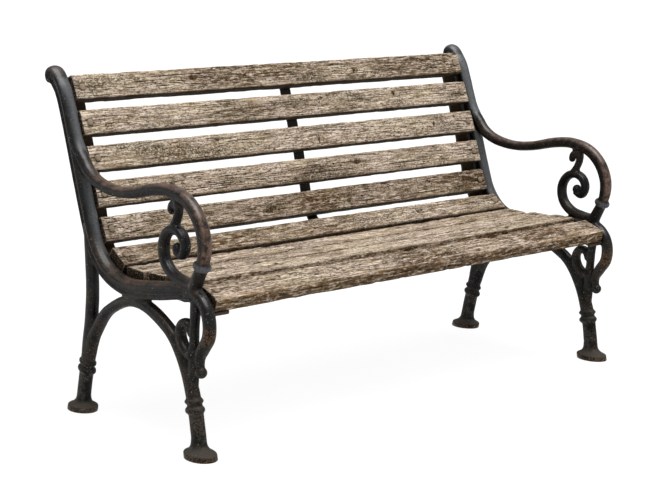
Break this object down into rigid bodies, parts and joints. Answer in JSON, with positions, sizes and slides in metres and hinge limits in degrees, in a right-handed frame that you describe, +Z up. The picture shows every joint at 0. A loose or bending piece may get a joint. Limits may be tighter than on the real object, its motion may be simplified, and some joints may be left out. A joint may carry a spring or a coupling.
{
  "type": "park bench",
  "caption": "Park bench with scrolled cast-iron end frames and armrests, and horizontal weathered timber slats for its seat and reclined back.",
  "frame": {"origin": "on the ground under the middle of the bench's box", "axes": "+X along the bench to the right end frame as seen from the front, -Y to the front where a person's knees are, +Z up"},
  "size_m": [1.4348, 0.6597, 0.8493],
  "materials": {
    "cast_iron": "aged dark iron, worn smooth on the arms",
    "weathered_timber": "bare, weathered grey-brown, open cracked grain",
    "strap_iron": "dark, aged flat bar",
    "fastener_steel": "dull brown, weathered"
  },
  "bodies": {
    "root": {"end_frame_left": "cast_iron", "end_frame_right": "cast_iron", "back_slat_1": "weathered_timber", "back_slat_2": "weathered_timber", "back_slat_3": "weathered_timber", "back_slat_4": "weathered_timber", "back_slat_5": "weathered_timber", "back_slat_6": "weathered_timber", "seat_slat_1": "weathered_timber", "seat_slat_2": "weathered_timber", "seat_slat_3": "weathered_timber", "seat_slat_4": "weathered_timber", "centre_strap": "strap_iron", "bolt_back_slat_1_left": "fastener_steel", "nut_back_slat_1_left": "fastener_steel", "bolt_back_slat_1_right": "fastener_steel", "nut_back_slat_1_right": "fastener_steel", "bolt_back_slat_2_left": "fastener_steel", "nut_back_slat_2_left": "fastener_steel", "bolt_back_slat_2_right": "fastener_steel", "nut_back_slat_2_right": "fastener_steel", "bolt_back_slat_3_left": "fastener_steel", "nut_back_slat_3_left": "fastener_steel", "bolt_back_slat_3_right": "fastener_steel", "nut_back_slat_3_right": "fastener_steel", "bolt_back_slat_4_left": "fastener_steel", "nut_back_slat_4_left": "fastener_steel", "bolt_back_slat_4_right": "fastener_steel", "nut_back_slat_4_right": "fastener_steel", "bolt_back_slat_5_left": "fastener_steel", "nut_back_slat_5_left": "fastener_steel", "bolt_back_slat_5_right": "fastener_steel", "nut_back_slat_5_right": "fastener_steel", "bolt_back_slat_6_left": "fastener_steel", "nut_back_slat_6_left": "fastener_steel", "bolt_back_slat_6_right": "fastener_steel", "nut_back_slat_6_right": "fastener_steel", "bolt_seat_slat_1_left": "fastener_steel", "nut_seat_slat_1_left": "fastener_steel", "bolt_seat_slat_1_right": "fastener_steel", "nut_seat_slat_1_right": "fastener_steel", "bolt_seat_slat_2_left": "fastener_steel", "nut_seat_slat_2_left": "fastener_steel", "bolt_seat_slat_2_right": "fastener_steel", "nut_seat_slat_2_right": "fastener_steel", "bolt_seat_slat_3_left": "fastener_steel", "nut_seat_slat_3_left": "fastener_steel", "bolt_seat_slat_3_right": "fastener_steel", "nut_seat_slat_3_right": "fastener_steel", "bolt_seat_slat_4_left": "fastener_steel", "nut_seat_slat_4_left": "fastener_steel", "bolt_seat_slat_4_right": "fastener_steel", "nut_seat_slat_4_right": "fastener_steel", "strap_screw_1": "fastener_steel", "strap_screw_2": "fastener_steel", "strap_screw_3": "fastener_steel", "strap_screw_4": "fastener_steel", "strap_screw_5": "fastener_steel", "strap_screw_6": "fastener_steel"}
  },
  "joints": []
}
